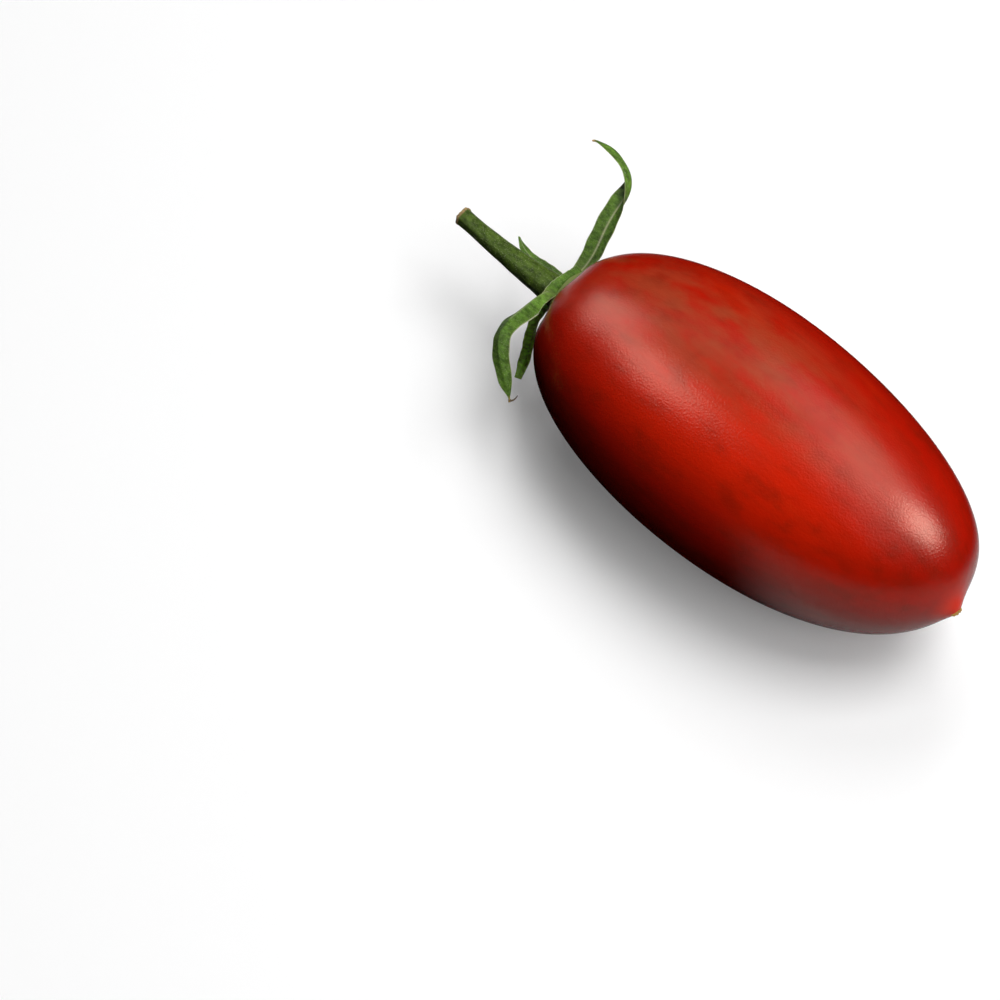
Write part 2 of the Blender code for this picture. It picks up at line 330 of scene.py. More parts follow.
def fruit_surface(fruit, share, angle):
    """Points of the fruit for a share of the way from stem pole to blossom pole and an angle.

    Each half is a stretched dome: x follows the cosine of the latitude and the radius a power of
    its sine, less three faint lobes. The stem end adds a hollow and soft puckers, the blossom end
    a nipple, and each half's middle line leans a little. Points under the floor are flattened.
    """
    latitude = np.pi * share - 0.25 * np.sin(2.0 * np.pi * share)
    cosine = np.clip(np.cos(latitude), -1.0, 1.0)
    sine = np.clip(np.sin(latitude), 0.0, 1.0)
    stem_side = cosine > 0.0
    half = np.where(stem_side, fruit.stem_half, fruit.blossom_half)
    fullness = np.where(stem_side, STEM_FULLNESS, BLOSSOM_FULLNESS)
    x = -half * cosine
    lobes = 1.0 - LOBE_DEPTH * sine * (1.0 + np.cos(LOBES * angle))
    radius = fruit.radius * sine**fullness * lobes
    y = -radius * np.sin(angle)
    z = radius * np.cos(angle)
    nipple = NIPPLE_HEIGHT / (1.0 + (radius / NIPPLE_WIDTH) ** 2) ** 1.5
    draw = np.where(stem_side, 0.0, NIPPLE_SHIFT * np.exp(-((radius / NIPPLE_DRAW) ** 2)))
    from_stem = np.hypot(y - STEM_LEAN - STEM_SHIFT, z)
    hollow = HOLLOW_DEPTH * np.exp(-((from_stem / HOLLOW_WIDTH) ** 2))
    ripple = np.cos(PUCKERS * angle) * np.exp(-(((radius - PUCKER_RING) / PUCKER_WIDTH) ** 2))
    x = x + np.where(stem_side, hollow + PUCKER_DEPTH * ripple, nipple)
    blossom_lean = BLOSSOM_LEAN * np.clip(x / fruit.blossom_half, 0.0, None) ** 3
    stem_lean = STEM_LEAN * np.clip(-x / fruit.stem_half, 0.0, None) ** 3
    z = np.maximum(z + axis_height(fruit), 0.0)
    return np.stack([x, y + blossom_lean - draw - stem_lean, z], axis=-1)


def shoulder_x(fruit, y, z):
    """The x of the fruit's shoulder at this place beside its axis; the hollow counts as filled."""
    share = np.linspace(0.0, 0.5, 120)[:, None]
    angle = np.linspace(0.0, 2.0 * np.pi, 97)[None, :-1]
    rings = fruit_surface(fruit, share, angle)
    distance = np.hypot(rings[..., 1] + STEM_LEAN, rings[..., 2] - axis_height(fruit)).mean(axis=1)
    nearest = rings[..., 0].min(axis=1)
    brim = nearest.argmin()
    nearest[:brim] = nearest[brim]
    return np.interp(np.hypot(y + STEM_LEAN, z), distance, nearest)


def stem_foot(fruit):
    """The x of the collar's face toward the fruit."""
    return shoulder_x(fruit, STEM_SHIFT, 0.0) - FIT_GAP


def stem_surface(fruit, calyx, above, angle):
    """Points of the stem for a height above its foot and an angle.

    The radius falls from the base to the cut as a power of the share left, with a small lip at
    the cut, five faint ribs and nine fainter ones, a swelling with a crease on one flank and fine
    unevenness. The collar adds a rim that fades out over its height and follows the shoulder,
    with a thin ring above it. The middle line sags a little.
    """
    share = above / (calyx.stem_length + COLLAR_HEIGHT)
    left = 1.0 - share
    radius = STEM_END_RADIUS + (calyx.base_radius - STEM_END_RADIUS) * left**STEM_FLARE
    radius = radius + STEM_LIP * np.exp(-left / 0.05)
    flank = np.angle(np.exp(1j * (angle - np.radians(50.0))))
    ribs = 0.020 * np.cos(5.0 * angle + 1.3 + 0.8 * share) + 0.012 * np.cos(9.0 * angle - 2.0 * share)
    swelling = 0.07 * np.exp(-((flank / 0.55) ** 2) - ((share - 0.33) / 0.05) ** 2)
    crease = -0.10 * np.exp(-((flank / 0.6) ** 2) - ((share - 0.265) / 0.018) ** 2)
    uneven = 0.010 * np.sin(23.0 * share + 2.0 * angle) + 0.006 * np.sin(41.0 * share - 3.0 * angle)
    radius = radius * (1.0 + (ribs + swelling + crease + uneven) * smooth_step(above / 0.004))
    collar = COLLAR_WIDTH * (1.0 + WEB_SHARE * np.cos(angle - WEB_ANGLE) + 0.05 * np.cos(7.0 * angle))
    radius = radius + collar * np.exp(-np.clip(above - RIM_THICKNESS, 0.0, None) / (0.5 * COLLAR_HEIGHT))
    radius = radius + 0.0002 * np.exp(-(((above - 1.5 * COLLAR_HEIGHT) / 0.0002) ** 2))
    y = STEM_SHIFT - STEM_SAG * 4.0 * share * left - radius * np.sin(angle)
    z = radius * np.cos(angle)
    foot = stem_foot(fruit)
    hug = np.clip(1.0 - above / (2.0 * COLLAR_HEIGHT), 0.0, 1.0)
    x = foot - above + hug * (shoulder_x(fruit, y, z) - FIT_GAP - foot)
    return np.stack([x, y, z + axis_height(fruit)], axis=-1)


def make_mesh(name, points, quads, triangles):
    """A mesh from arrays of points and of corner numbers."""
    mesh = bpy.data.meshes.new(name)
    corners = np.concatenate([np.ravel(quads), np.ravel(triangles)]).astype(np.int32)
    starts = np.concatenate([np.arange(len(quads)) * 4, len(quads) * 4 + np.arange(len(triangles)) * 3])
    mesh.vertices.add(len(points))
    mesh.vertices.foreach_set("co", np.ravel(points).astype(np.float32))
    mesh.loops.add(len(corners))
    mesh.loops.foreach_set("vertex_index", corners)
    mesh.polygons.add(len(starts))
    mesh.polygons.foreach_set("loop_start", starts.astype(np.int32))
    mesh.update(calc_edges=True)
    mesh.validate()
    mesh.shade_smooth()
    return mesh


def volume(points, quads, triangles):
    """Six times the volume inside the faces, negative where they point inwards."""
    fans = np.concatenate([quads[:, [0, 1, 2]], quads[:, [0, 2, 3]], triangles])
    return np.einsum("ij,ij->i", points[fans[:, 0]], np.cross(points[fans[:, 1]], points[fans[:, 2]])).sum()


def tube_mesh(name, rings, start, end):
    """A closed mesh from rings of points, each end gathered to one point, faces outward."""
    count, sides = rings.shape[:2]
    points = np.concatenate([np.reshape(start, (1, 3)), rings.reshape(-1, 3), np.reshape(end, (1, 3))])
    ring = np.arange(count - 1)[:, None] * sides + 1
    side = np.arange(sides)[None, :]
    after = (side + 1) % sides
    quads = np.stack([ring + side, ring + sides + side, ring + sides + after, ring + after], axis=-1)
    quads = quads.reshape(-1, 4)
    last = len(points) - 1
    near = np.arange(sides) + 1
    far = near + (count - 1) * sides
    first_fan = np.stack([np.zeros(sides, int), near, np.roll(near, -1)], axis=-1)
    last_fan = np.stack([far, np.full(sides, last), np.roll(far, -1)], axis=-1)
    triangles = np.concatenate([first_fan, last_fan])
    if volume(points, quads, triangles) < 0.0:
        quads = quads[:, ::-1]
        triangles = triangles[:, ::-1]
    return make_mesh(name, points, quads, triangles)


def note(mesh, name, values):
    """Keeps one number for each point of a tube mesh, with the ends given their neighbours' number."""
    flat = np.concatenate([np.ravel(values)[:1], np.ravel(values), np.ravel(values)[-1:]])
    mesh.attributes.new(name, "FLOAT", "POINT").data.foreach_set("value", flat.astype(np.float32))


def piece(name, mesh, material, node):
    """Puts a finished mesh in the scene as a piece that stands for a node of the solid."""
    mesh.materials.append(material)
    thing = bpy.data.objects.new(name, mesh)
    bpy.context.scene.collection.objects.link(thing)
    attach(thing, BODY)
    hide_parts(node)


def fill(tree, socket, value):
    """Sets an input to a number or a colour, or links another node's output to it."""
    if isinstance(value, bpy.types.NodeSocket):
        tree.links.new(value, socket)
    else:
        socket.default_value = value


def add(tree, kind, inputs=None, **settings):
    """Adds a shader node, sets it up, and fills its inputs with numbers or other nodes' outputs."""
    node = tree.nodes.new(kind)
    for name, value in settings.items():
        setattr(node, name, value)
    for name, value in (inputs or {}).items():
        fill(tree, node.inputs[name], value)
    return node


def shader_group(name, inputs, output):
    """An empty node group with named inputs, which are (name, socket kind, default), and one output."""
    group = bpy.data.node_groups.new(name, "ShaderNodeTree")
    for label, kind, default in inputs:
        socket = group.interface.new_socket(label, in_out="INPUT", socket_type=kind)
        if default is not None:
            socket.default_value = default
    group.interface.new_socket(output, in_out="OUTPUT", socket_type="NodeSocketFloat")
    return group, add(group, "NodeGroupInput"), add(group, "NodeGroupOutput")


def patches_group():
    """Soft patches: noise of a given size, cut between two levels."""
    if "Patches" in bpy.data.node_groups:
        return bpy.data.node_groups["Patches"]
    group, given, made = shader_group("Patches", [
        ("Place", "NodeSocketVector", None),
        ("Scale", "NodeSocketFloat", 100.0),
        ("Low", "NodeSocketFloat", 0.4),
        ("High", "NodeSocketFloat", 0.6),
    ], "Mask")
    noise = add(group, "ShaderNodeTexNoise", {
        "Vector": given.outputs["Place"], "Scale": given.outputs["Scale"], "Detail": 3.0, "Roughness": 0.55})
    ramp = add(group, "ShaderNodeMapRange", {
        "Value": noise.outputs["Fac"], "From Min": given.outputs["Low"], "From Max": given.outputs["High"]},
        interpolation_type="SMOOTHSTEP")
    group.links.new(ramp.outputs["Result"], made.inputs["Mask"])
    return group


def speckle_group():
    """Small round dots: cells of a given size, each with a soft dot at its middle."""
    if "Speckle" in bpy.data.node_groups:
        return bpy.data.node_groups["Speckle"]
    group, given, made = shader_group("Speckle", [
        ("Place", "NodeSocketVector", None),
        ("Scale", "NodeSocketFloat", 1500.0),
        ("Size", "NodeSocketFloat", 0.3),
    ], "Mask")
    cells = add(group, "ShaderNodeTexVoronoi", {
        "Vector": given.outputs["Place"], "Scale": given.outputs["Scale"]})
    dots = add(group, "ShaderNodeMapRange", {
        "Value": cells.outputs["Distance"], "From Min": given.outputs["Size"], "From Max": 0.05,
        "To Min": 0.0, "To Max": 1.0}, interpolation_type="SMOOTHSTEP")
    group.links.new(dots.outputs["Result"], made.inputs["Mask"])
    return group


def spot_group():
    """One soft oval patch: 1 at its middle, falling to 0 at its reach along each axis."""
    if "Spot" in bpy.data.node_groups:
        return bpy.data.node_groups["Spot"]
    group, given, made = shader_group("Spot", [
        ("Place", "NodeSocketVector", None),
        ("Middle", "NodeSocketVector", None),
        ("Reach", "NodeSocketVector", None),
    ], "Mask")
    away = add(group, "ShaderNodeVectorMath", operation="SUBTRACT")
    group.links.new(given.outputs["Place"], away.inputs[0])
    group.links.new(given.outputs["Middle"], away.inputs[1])
    share = add(group, "ShaderNodeVectorMath", operation="DIVIDE")
    group.links.new(away.outputs["Vector"], share.inputs[0])
    group.links.new(given.outputs["Reach"], share.inputs[1])
    length = add(group, "ShaderNodeVectorMath", operation="LENGTH")
    group.links.new(share.outputs["Vector"], length.inputs[0])
    ramp = add(group, "ShaderNodeMapRange", {
        "Value": length.outputs["Value"], "From Min": 1.0, "From Max": 0.15}, interpolation_type="SMOOTHSTEP")
    group.links.new(ramp.outputs["Result"], made.inputs["Mask"])
    return group


def use(tree, group, inputs):
    """Places a node group with its own values and returns its output."""
    return add(tree, "ShaderNodeGroup", inputs, node_tree=group).outputs[0]


def colour_mix(tree, mask, low, high):
    """Blends two colours by a mask. Each is a colour or another node's output."""
    low = (*low, 1.0) if isinstance(low, (tuple, list)) or hasattr(low, "r") else low
    high = (*high, 1.0) if isinstance(high, (tuple, list)) or hasattr(high, "r") else high
    node = add(tree, "ShaderNodeMix", data_type="RGBA")
    for socket, value in ((node.inputs[0], mask), (node.inputs[6], low), (node.inputs[7], high)):
        fill(tree, socket, value)
    return node.outputs[2]


def reckon(tree, operation, first, second):
    """One sum on two values."""
    node = add(tree, "ShaderNodeMath", operation=operation)
    for socket, value in zip(node.inputs, (first, second)):
        fill(tree, socket, value)
    return node.outputs[0]


def drawn_out(tree, place, along):
    """The place with its X scaled by along, so that a pattern on it is drawn out lengthwise."""
    return add(tree, "ShaderNodeMapping", {"Vector": place, "Scale": (along, 1.0, 1.0)}).outputs["Vector"]


def patches(tree, place, noise):
    """Soft patches from how far they are drawn out, their fineness and their two levels."""
    along, scale, low, high = noise
    return use(tree, patches_group(), {
        "Place": drawn_out(tree, place, along), "Scale": scale, "Low": low, "High": high})


def oval(tree, place, where):
    """One soft oval patch from its middle and its reach."""
    return use(tree, spot_group(), {"Place": place, **where})


def noted(tree, name):
    """The numbers that a mesh keeps under this name."""
    return add(tree, "ShaderNodeAttribute", attribute_name=name).outputs["Fac"]


def tint(tree, colour, mask, share, other):
    """A colour tinted with another where a mask shows, by this share at most."""
    return colour_mix(tree, reckon(tree, "MULTIPLY", mask, share), colour, other)


def tones(tree, mask, colour, scales):
    """A colour that goes from darker to lighter with a mask, by these two factors."""
    darker, lighter = (tuple(scale * channel for channel in colour) for scale in scales)
    return colour_mix(tree, mask, darker, lighter)


def new_material(name):
    """A material with only its Principled shader, and the place in object coordinates."""
    material = bpy.data.materials.new(name)
    material.use_nodes = True
    tree = material.node_tree
    place = add(tree, "ShaderNodeTexCoord").outputs["Object"]
    return material, tree, tree.nodes["Principled BSDF"], place


def relief(tree, shader, height, distance):
    """Raises the surface by a height pattern, distance being its full height."""
    bump = add(tree, "ShaderNodeBump", {"Height": height, "Distance": distance, "Strength": 1.0})
    tree.links.new(bump.outputs["Normal"], shader.inputs["Normal"])


def skin_material(fruit):
    """Glossy red skin: soft brown and orange patches, faint lengthwise streaks, fine orange peel."""
    material, tree, shader, place = new_material("tomato_skin")
    ridge = reckon(tree, "MULTIPLY", oval(tree, place, RIDGE_SPOT), patches(tree, place, MOTTLE_NOISE))
    # Partly painted light: the brighter red lifts the lit upper flank as well as being a lighter patch.
    colour = colour_mix(tree, oval(tree, place, BRIGHT_AND_PAINTED_LIGHT_SPOT), fruit.red, fruit.bright)
    colour = tint(tree, colour, patches(tree, place, BROWN_NOISE), BROWN_SHARE, fruit.brown)
    colour = colour_mix(tree, ridge, colour, fruit.olive)
    colour = tint(tree, colour, patches(tree, place, ORANGE_NOISE), ORANGE_SHARE, fruit.orange)
    colour = tint(tree, colour, patches(tree, place, STREAK_NOISE), STREAK_SHARE, fruit.brown)
    colour = tint(tree, colour, patches(tree, place, BLOT_NOISE), BLOT_SHARE, fruit.brown)
    colour = colour_mix(tree, oval(tree, place, NIPPLE_SPOT), colour, fruit.tip)
    tree.links.new(colour, shader.inputs["Base Color"])
    fine = add(tree, "ShaderNodeTexNoise", {"Vector": place, "Scale": 2600.0, "Detail": 2.0}).outputs["Fac"]
    relief(tree, shader, fine, PEEL_HEIGHT)
    shader.inputs["Roughness"].default_value = 0.26
    shader.inputs["IOR"].default_value = 1.50
    shader.inputs["Specular Tint"].default_value = (1.0, 0.78, 0.62, 1.0)
    shader.inputs["Subsurface Weight"].default_value = 0.04
    shader.inputs["Subsurface Radius"].default_value = (0.0030, 0.0005, 0.0002)
    shader.inputs["Subsurface Scale"].default_value = 1.0
    return material


def green_material(name, calyx, green, veined):
    """Matt green in patches with a pale speckle. A blade has a pale vein and edge and a dry tip as well."""
    material, tree, shader, place = new_material(name)
    tone = patches(tree, place, GREEN_NOISE)
    dots = use(tree, speckle_group(), {"Place": place, "Scale": 3000.0, "Size": 0.36})
    colour = tint(tree, tones(tree, tone, green, GREEN_RANGE), dots, SPECKLE_SHARE, calyx.pale)
    if veined:
        # Partly painted light: the roots take the paler web green, their own colour lifted out of the
        # collar's shade.
        colour = tint(tree, colour, noted(tree, "root"), ROOT_GREEN_SHARE, WEB_GREEN_AND_PAINTED_LIGHT)
        # Painted light: the noted light makes a blade's green paler where it lies in shade, most on the lower
        # sepal.
        colour = colour_mix(tree, noted(tree, "light"), colour, tones(tree, tone, green, PAINTED_LIGHT_RANGE))
        colour = tint(tree, colour, noted(tree, "vein"), VEIN_SHARE, calyx.pale)
        colour = tint(tree, colour, noted(tree, "edge"), EDGE_SHARE, calyx.pale)
        colour = colour_mix(tree, noted(tree, "dry"), colour, calyx.dry)
        shader.inputs["Subsurface Weight"].default_value = 0.35
        shader.inputs["Subsurface Radius"].default_value = (0.0010, 0.0014, 0.0004)
        shader.inputs["Subsurface Scale"].default_value = 1.0
    else:
        # Partly painted light: the collar takes the paler web green, which also lifts it out of the sepals'
        # shade.
        colour = tint(tree, colour, noted(tree, "collar"), COLLAR_GREEN_SHARE, WEB_GREEN_AND_PAINTED_LIGHT)
    tree.links.new(colour, shader.inputs["Base Color"])
    grain = add(tree, "ShaderNodeTexNoise", {
        "Vector": drawn_out(tree, place, 0.4), "Scale": 2600.0, "Detail": 3.0}).outputs["Fac"]
    relief(tree, shader, grain, GRAIN_HEIGHT)
    shader.inputs["Roughness"].default_value = 0.50
    shader.inputs["Specular IOR Level"].default_value = 0.12
    return material


def dry_material(name, dry):
    """Dry, corky tissue: tan with darker grains, and near black where it is deep."""
    material, tree, shader, place = new_material(name)
    grains = patches(tree, place, DRY_NOISE)
    colour = colour_mix(tree, noted(tree, "deep"), tones(tree, grains, dry, DRY_RANGE), DEEP_BROWN)
    tree.links.new(colour, shader.inputs["Base Color"])
    relief(tree, shader, grains, DRY_GRAIN_HEIGHT)
    shader.inputs["Roughness"].default_value = 0.7
    return material


def hair_material(calyx):
    """Fine pale hairs."""
    material, tree, shader, place = new_material("hairs")
    colour = colour_mix(tree, patches(tree, place, HAIR_NOISE), calyx.pale, HAIR_PALE)
    tree.links.new(colour, shader.inputs["Base Color"])
    shader.inputs["Roughness"].default_value = 0.4
    return material


def smooth_through(values, stations, share):
    """The polynomial in share that passes through each value at its station."""
    powers = len(values)
    factors = np.linalg.solve(np.vander(stations, powers), np.array(values, float))
    return np.vander(share, powers) @ factors


def sepal_line(fruit, sepal, share):
    """A sepal's middle line and its directions across and out of the blade.

    The line is the smooth polynomial through its route's points, its station at each being the
    share of the way there. The blade faces FRONT as nearly as its line lets it, then rolls.
    """
    crown = np.array([stem_foot(fruit) - COLLAR_HEIGHT, STEM_SHIFT, axis_height(fruit)])
    route = crown + MM * np.array(sepal["route"])
    reach = np.cumsum(np.linalg.norm(np.diff(route, axis=0), axis=1))
    stations = np.concatenate([[0.0], reach / reach[-1]])
    line = smooth_through(route, stations, share)
    along = unit(np.gradient(line, share, axis=0))
    facing = unit(np.array(FRONT) - along * (along @ np.array(FRONT))[:, None])
    roll = np.radians(smooth_through(sepal["rolls"], stations, share))[:, None]
    across = np.cos(roll) * np.cross(facing, along) + np.sin(roll) * facing
    return line, along, across, np.cross(along, across)


def sepal_mesh(name, number, fruit, sepal):
    """A sepal's blade: a loop carried along its middle line and kept clear of the fruit's shoulder.

    The loop is a flat oval, thick at the middle rib and thin at the edges, bent to a soft V that is
    deeper at the fold. Its half width swells from the root and tapers to the tip, and its edges
    wave a little. The mesh keeps where its vein, root, edges and dry tip are, and its painted light:
    how much paler its green is made where it lies in shade, with more at the fold.
    """
    share = np.linspace(0.0, 1.0, SEPAL_STEPS)
    line, _, across, face = sepal_line(fruit, sepal, share)
    loop = np.arange(SEPAL_SIDES)[None, :] * 2.0 * np.pi / SEPAL_SIDES
    reach = np.cos(loop)
    down = share[:, None]
    swell = ROOT_SHARE + (1.0 - ROOT_SHARE) * smooth_step(down / 0.3)
    width = 0.5 * sepal["width"] * swell * (1.0 - down**2.2) + sepal["tip"] + BLADE_EXTRA
    width = width * (1.0 - sepal["point"] * smooth_step((down - 0.86) / 0.14))
    keel = sepal["keel"] * (np.sqrt(reach**2 + 0.015) - 0.5)
    wave = 0.00010 * np.sin(19.0 * down + 1.7 * np.sign(reach) + sepal["width"] * 9000.0) * reach**2
    nibble = 1.0 + 0.035 * np.sin(43.0 * down + 2.1 * np.sign(reach)) * np.abs(reach) ** 3
    depth, place = sepal["fold"]
    fold = 1.0 - 0.7 * down + depth * np.exp(-(((down - place) / 0.12) ** 2))
    lift = width * fold * keel + wave * smooth_step(down / 0.25)
    middle = line[:, None, :] + (width * nibble * reach)[..., None] * across[:, None, :]
    middle = middle + lift[..., None] * face[:, None, :]
    clearance = FIT_GAP + 0.5 * BLADE_MIDDLE + number * STACK_STEP
    limit = shoulder_x(fruit, middle[..., 1], middle[..., 2] - axis_height(fruit)) - clearance
    middle[..., 0] = np.minimum(middle[..., 0], limit)
    thickness = BLADE_EDGE + (BLADE_MIDDLE - BLADE_EDGE) * np.exp(-((reach / 0.35) ** 2))
    height = 0.5 * thickness * (1.0 - 0.5 * down**2) * np.sin(loop)
    rings = middle + height[..., None] * face[:, None, :]
    mesh = tube_mesh(name, rings, rings[0].mean(axis=0), rings[-1].mean(axis=0))
    whole = np.ones_like(down * reach)
    rib = np.exp(-((reach / 0.085) ** 2))
    note(mesh, "vein", sepal["vein"] * rib * ((np.sin(loop) > 0.0) | (down < sepal["crease"])) * whole)
    note(mesh, "root", (1.0 - smooth_step(down / 0.22)) * whole)
    # Partly painted light: the fold's pale line is the blade's own and also lifts the shade the fold casts.
    fold_pale_and_painted_light = FOLD_PALE_AND_PAINTED_LIGHT * min(depth, 1.0) * np.exp(-(((down - place) / 0.07) ** 2))
    note(mesh, "light", (sepal["light"] + fold_pale_and_painted_light) * whole)
    note(mesh, "edge", smooth_step((np.abs(reach) - 0.92) / 0.06) * whole)
    note(mesh, "dry", sepal["dry"] * smooth_step((down - 0.94) / 0.05) * whole)
    return mesh


class TOMATO_OT_fruit(bpy.types.Operator):
    """Makes the fruit's skin as one fine closed surface"""

    bl_idname = "tomato.fruit"
    bl_label = "Fruit"

    def execute(self, context):
        fruit = context.scene.tomato_fruit
        share = np.linspace(0.0, 1.0, FRUIT_RINGS + 1)[:, None]
        angle = np.arange(FRUIT_SIDES)[None, :] * 2.0 * np.pi / FRUIT_SIDES
        rings = fruit_surface(fruit, share, angle)
        mesh = tube_mesh("fruit_skin", rings[1:-1], rings[0].mean(axis=0), rings[-1].mean(axis=0))
        piece("fruit_skin", mesh, skin_material(fruit), FRUIT_NODE)
        return {"FINISHED"}


class TOMATO_OT_stem(bpy.types.Operator):
    """Makes the stem with its disc"""

    bl_idname = "tomato.stem"
    bl_label = "Stem"

    def execute(self, context):
        fruit = context.scene.tomato_fruit
        calyx = context.scene.tomato_calyx
        above = np.linspace(0.0, 1.0, STEM_RINGS)[:, None] ** 1.4 * (calyx.stem_length + COLLAR_HEIGHT)
        angle = np.arange(STEM_SIDES)[None, :] * 2.0 * np.pi / STEM_SIDES
        rings = stem_surface(fruit, calyx, above, angle)
        neck = rings[0].mean(axis=0) + np.array([STEM_INSIDE, 0.0, 0.0])
        mesh = tube_mesh("stem", rings, neck, rings[-1].mean(axis=0))
        note(mesh, "collar", (1.0 - smooth_step((above - 0.0006) / 0.0012)) * np.ones_like(angle))
        mesh.set_sharp_from_angle(angle=np.radians(55))
        material = green_material("stem_green", calyx, calyx.green, False)
        piece("stem", mesh, material, CALYX_NODE)
        return {"FINISHED"}


class TOMATO_OT_sepals(bpy.types.Operator):
    """Makes the five sepals and the web of leaf between the roots of two of them"""

    bl_idname = "tomato.sepals"
    bl_label = "Sepals"

    def execute(self, context):
        fruit = context.scene.tomato_fruit
        calyx = context.scene.tomato_calyx
        material = green_material("sepal_green", calyx, calyx.leaf, True)
        for number, (name, sepal) in enumerate(SEPALS.items(), start=1):
            mesh = sepal_mesh(name, number, fruit, sepal)
            piece(name, mesh, material, CALYX_NODE)
        return {"FINISHED"}


class TOMATO_OT_scar(bpy.types.Operator):
    """Makes the dry scar at the tip of the nipple"""

    bl_idname = "tomato.scar"
    bl_label = "Blossom scar"

    def execute(self, context):
        """The scar follows the skin: an oval with a raised rim, closed under the skin.

        Its outline is an ellipse, long along Y, with a small ragged wave. Over the top its height
        rises to the rim and falls to the middle. The underside is the same oval, sunk a little.
        """
        fruit = context.scene.tomato_fruit
        turn = np.linspace(0.0, 2.0 * np.pi, 97)[None, :-1]
        out = np.concatenate([np.linspace(0.04, 1.0, 26), np.linspace(0.96, 0.1, 6)])[:, None]
        under = (np.arange(32) > 25)[:, None]
        ragged = 1.0 + 0.07 * np.sin(5.0 * turn + 0.6) + 0.05 * np.sin(11.0 * turn)
        long_way = SCAR_ASIDE + SCAR_LENGTH / 2.0 * out * ragged * np.cos(turn)
        short_way = SCAR_RAISED + SCAR_WIDTH / 2.0 * out * ragged * np.sin(turn)
        sine = (np.hypot(long_way, short_way) / fruit.radius) ** (1.0 / BLOSSOM_FULLNESS)
        angle = np.arctan2(-long_way, short_way)
        points = fruit_surface(fruit, 1.0 - np.arcsin(sine) / (0.5 * np.pi), angle)
        rim = np.exp(-(((out - 0.72) / 0.2) ** 2)) * (1.0 + 0.25 * np.sin(7.0 * turn))
        raised = SCAR_RISE * (0.15 + 0.85 * rim) * smooth_step((1.0 - out) / 0.12)
        points[..., 0] += np.where(under, -SCAR_SUNK, raised)
        mesh = tube_mesh("blossom_scar", points, points[0].mean(axis=0), points[-1].mean(axis=0))
        note(mesh, "deep", 1.0 - smooth_step((out - 0.22) / 0.3) * np.ones_like(turn))
        piece("blossom_scar", mesh, dry_material("scar", SCAR_GOLD), FRUIT_NODE)
        return {"FINISHED"}


class TOMATO_OT_cut(bpy.types.Operator):
    """Makes the dry ring and face of the stem's cut end"""

    bl_idname = "tomato.cut"
    bl_label = "Cut end"

    def execute(self, context):
        """A shallow cap turned round the stem's middle line: a ring, a dished face, a plug inside."""
        fruit = context.scene.tomato_fruit
        calyx = context.scene.tomato_calyx
        tall = calyx.stem_length + COLLAR_HEIGHT
        angle = np.linspace(0.0, 2.0 * np.pi, 97)[None, :-1]
        # Each ring of the cap: its share of the stem's radius and its millimetres before the end.
        profile = np.array([
            (0.50, 0.60), (0.90, 0.60), (1.005, 0.52), (1.045, 0.36), (1.05, 0.16),
            (1.03, 0.02), (0.97, -0.07), (0.88, -0.07), (0.80, 0.00), (0.68, 0.05),
            (0.50, 0.03), (0.30, 0.06), (0.10, 0.08)])
        reach, back = profile[:, 0][:, None], profile[:, 1][:, None] * MM
        edge = stem_surface(fruit, calyx, np.full((1, 1), tall), angle)
        middle = edge.mean(axis=1, keepdims=True)
        ragged = 0.00006 * np.sin(5.0 * angle + 1.0) + 0.00004 * np.sin(13.0 * angle)
        rings = middle + (edge - middle) * reach[..., None]
        rings[..., 0] += back + ragged * (reach > 0.6)
        mesh = tube_mesh("stem_cut", rings, rings[0].mean(axis=0), rings[-1].mean(axis=0))
        dished = (1.0 - smooth_step((reach - 0.55) / 0.3)) * (back < 0.0003)
        note(mesh, "deep", 0.7 * dished * np.ones_like(angle))
        piece("stem_cut", mesh, dry_material("cut_end", calyx.dry), CALYX_NODE)
        return {"FINISHED"}


class TOMATO_OT_hook(bpy.types.Operator):
    """Makes the dry hook at the tip of the front sepal"""

    bl_idname = "tomato.hook"
    bl_label = "Dry hook"

    def execute(self, context):
        """A thin tube that curls on from the sepal's tip along a quadratic curve and thins out."""
        fruit = context.scene.tomato_fruit
        line, along = sepal_line(fruit, SEPALS["sepal_front"], np.linspace(0.0, 1.0, SEPAL_STEPS))[:2]
        share = np.linspace(0.0, 1.0, 24)[:, None]
        start = line[-1] - HOOK_OVERLAP * along[-1]
        bend = np.array(HOOK_BEND) * MM
        end = np.array(HOOK_END) * MM
        curve = start + 2.0 * share * (1.0 - share) * bend + share**2 * end
        turn = np.linspace(0.0, 2.0 * np.pi, 13)[None, :-1, None]
        way = unit(np.gradient(curve, axis=0))
        side = unit(np.cross(way, np.array(FRONT)))
        other = np.cross(way, side)
        radius = (HOOK_RADIUS - HOOK_TAPER * share)[:, None, :]
        spoke = np.cos(turn) * side[:, None, :] + np.sin(turn) * other[:, None, :]
        rings = curve[:, None, :] + radius * spoke
        mesh = tube_mesh("dry_hook", rings, curve[0], curve[-1])
        note(mesh, "deep", 0.8 * share * np.ones(12))
        piece("dry_hook", mesh, dry_material("hook", HOOK_BROWN), CALYX_NODE)
        return {"FINISHED"}


